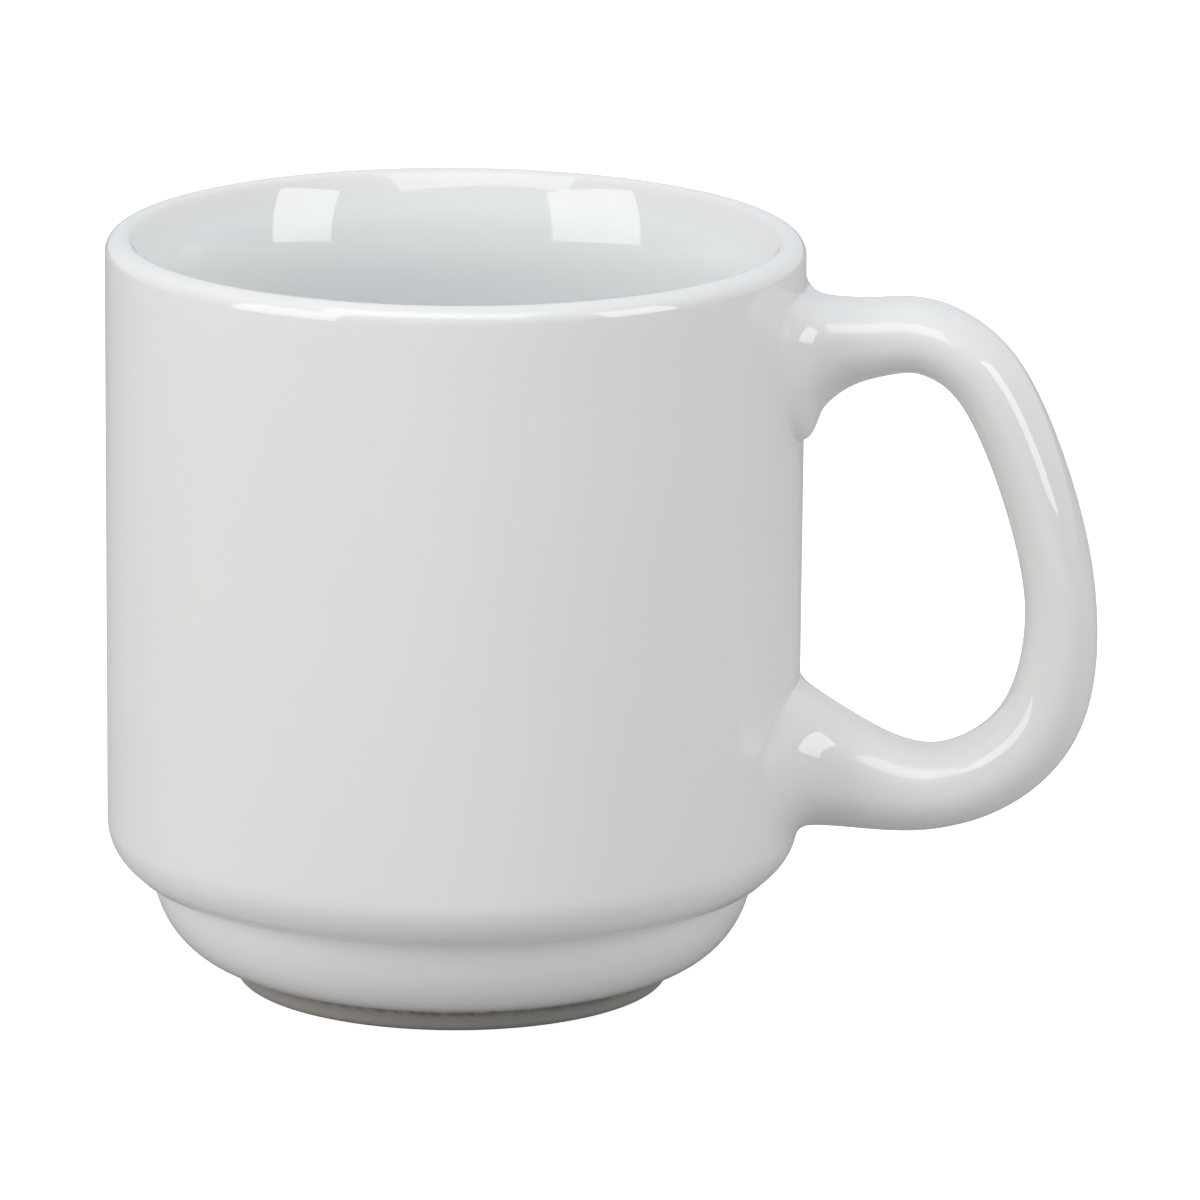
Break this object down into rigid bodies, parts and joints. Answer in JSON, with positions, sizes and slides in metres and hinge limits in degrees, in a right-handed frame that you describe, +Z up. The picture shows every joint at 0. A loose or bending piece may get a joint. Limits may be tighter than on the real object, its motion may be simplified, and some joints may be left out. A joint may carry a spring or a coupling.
{
  "type": "ceramic mug",
  "caption": "Straight-sided stacking mug with a rolled rim, a rounded shoulder over a recessed band and foot ring, and a D-shaped handle.",
  "frame": {"origin": "on the table plane, under the middle of the mug's whole length from the cup's far side to the handle's outer face", "axes": "+Z up along the cup's axis, +X from the cup towards the handle, +Y across"},
  "size_m": [0.118, 0.0826, 0.09],
  "materials": {
    "white_glaze": "clear gloss glaze over white porcelain",
    "fired_slip": "fired porcelain slip under the glaze",
    "bare_foot": "unglazed ground foot ring"
  },
  "bodies": {
    "root": {"cup_body": "white_glaze", "handle": "white_glaze", "upper_luting_slip": "fired_slip", "lower_luting_slip": "fired_slip"}
  },
  "joints": []
}
